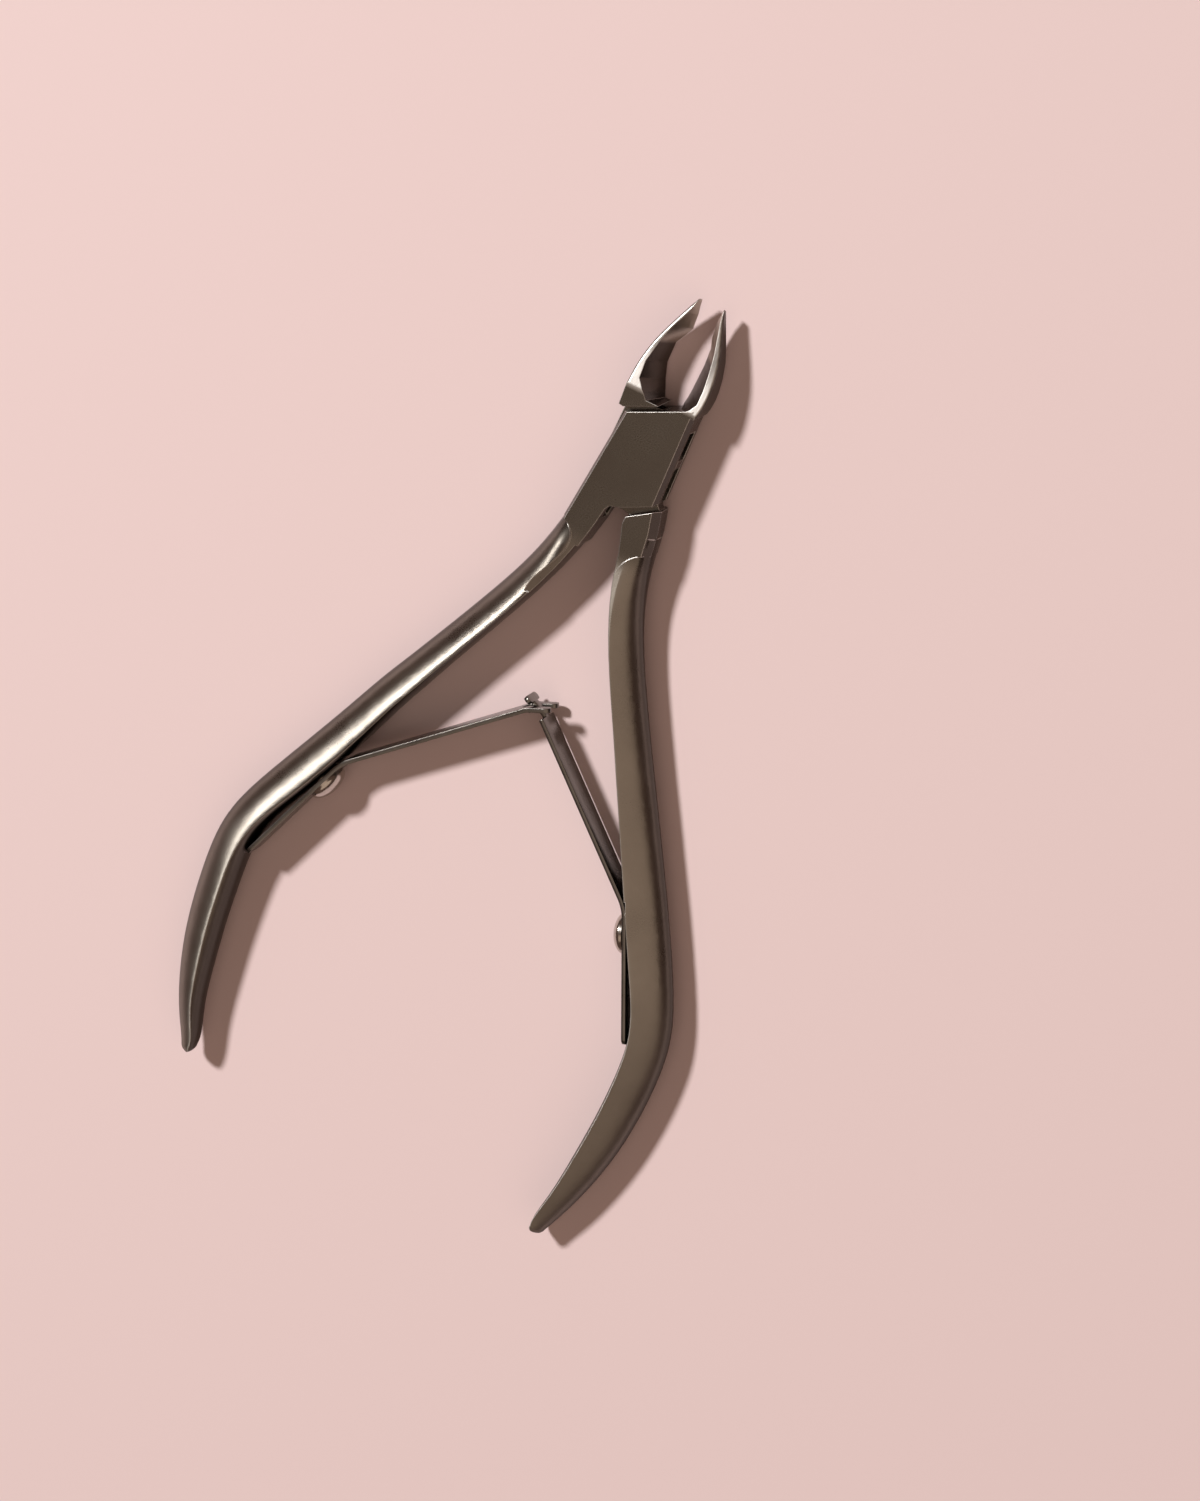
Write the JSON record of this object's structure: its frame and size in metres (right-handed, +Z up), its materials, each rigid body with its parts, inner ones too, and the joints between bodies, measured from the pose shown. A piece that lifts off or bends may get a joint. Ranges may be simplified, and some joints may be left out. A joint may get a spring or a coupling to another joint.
{
  "type": "cuticle nipper",
  "caption": "Hand-held cuticle nipper with crossed levers on a box joint, narrow slanted jaws, curved handles and interlocking leaf springs.",
  "frame": {"origin": "on the surface the nipper lies on, under the middle of its length and width", "axes": "+Y along the nipper from the handle tips to the jaws, +X toward the male lever's handle, +Z up, out of the front face of the box joint"},
  "size_m": [0.0576, 0.105, 0.0058],
  "materials": {
    "lever_finish": "satin, fine bead-blasted gunmetal",
    "spring_steel": "finely brushed, slightly glossy gunmetal",
    "screw_steel": "polished gunmetal"
  },
  "bodies": {
    "fixed_half": {"female_lever": "lever_finish", "pivot_pin": "lever_finish", "left_spring_foot": "spring_steel", "left_spring_screw": "screw_steel"},
    "moving_half": {"male_lever": "lever_finish", "right_spring_foot": "spring_steel", "right_spring_screw": "screw_steel"},
    "left_leaf": {"left_spring_arm": "spring_steel"},
    "right_leaf": {"right_spring_arm": "spring_steel"}
  },
  "joints": [
    {"name": "jaw_pivot", "type": "hinge", "parent": "fixed_half", "child": "moving_half", "pos_m": [0, 0.034, 0.00291], "axis": [0, 0, -1], "range_deg": [0, 8], "stiffness_Nm_per_rad": 2, "springref_deg": -2.86},
    {"name": "left_spring_flex", "type": "hinge", "parent": "fixed_half", "child": "left_leaf", "pos_m": [-0.01801, -0.01253, 0.00291], "axis": [0, 0, -1], "range_deg": [-7.2, 0]},
    {"name": "right_spring_flex", "type": "hinge", "parent": "moving_half", "child": "right_leaf", "pos_m": [0.01801, -0.01253, 0.00291], "axis": [0, 0, -1], "range_deg": [0, 7.2]}
  ],
  "couplings": [
    {"joint": "left_spring_flex", "follows": "jaw_pivot", "ratio": -0.87},
    {"joint": "right_spring_flex", "follows": "jaw_pivot", "ratio": 0.87}
  ]
}
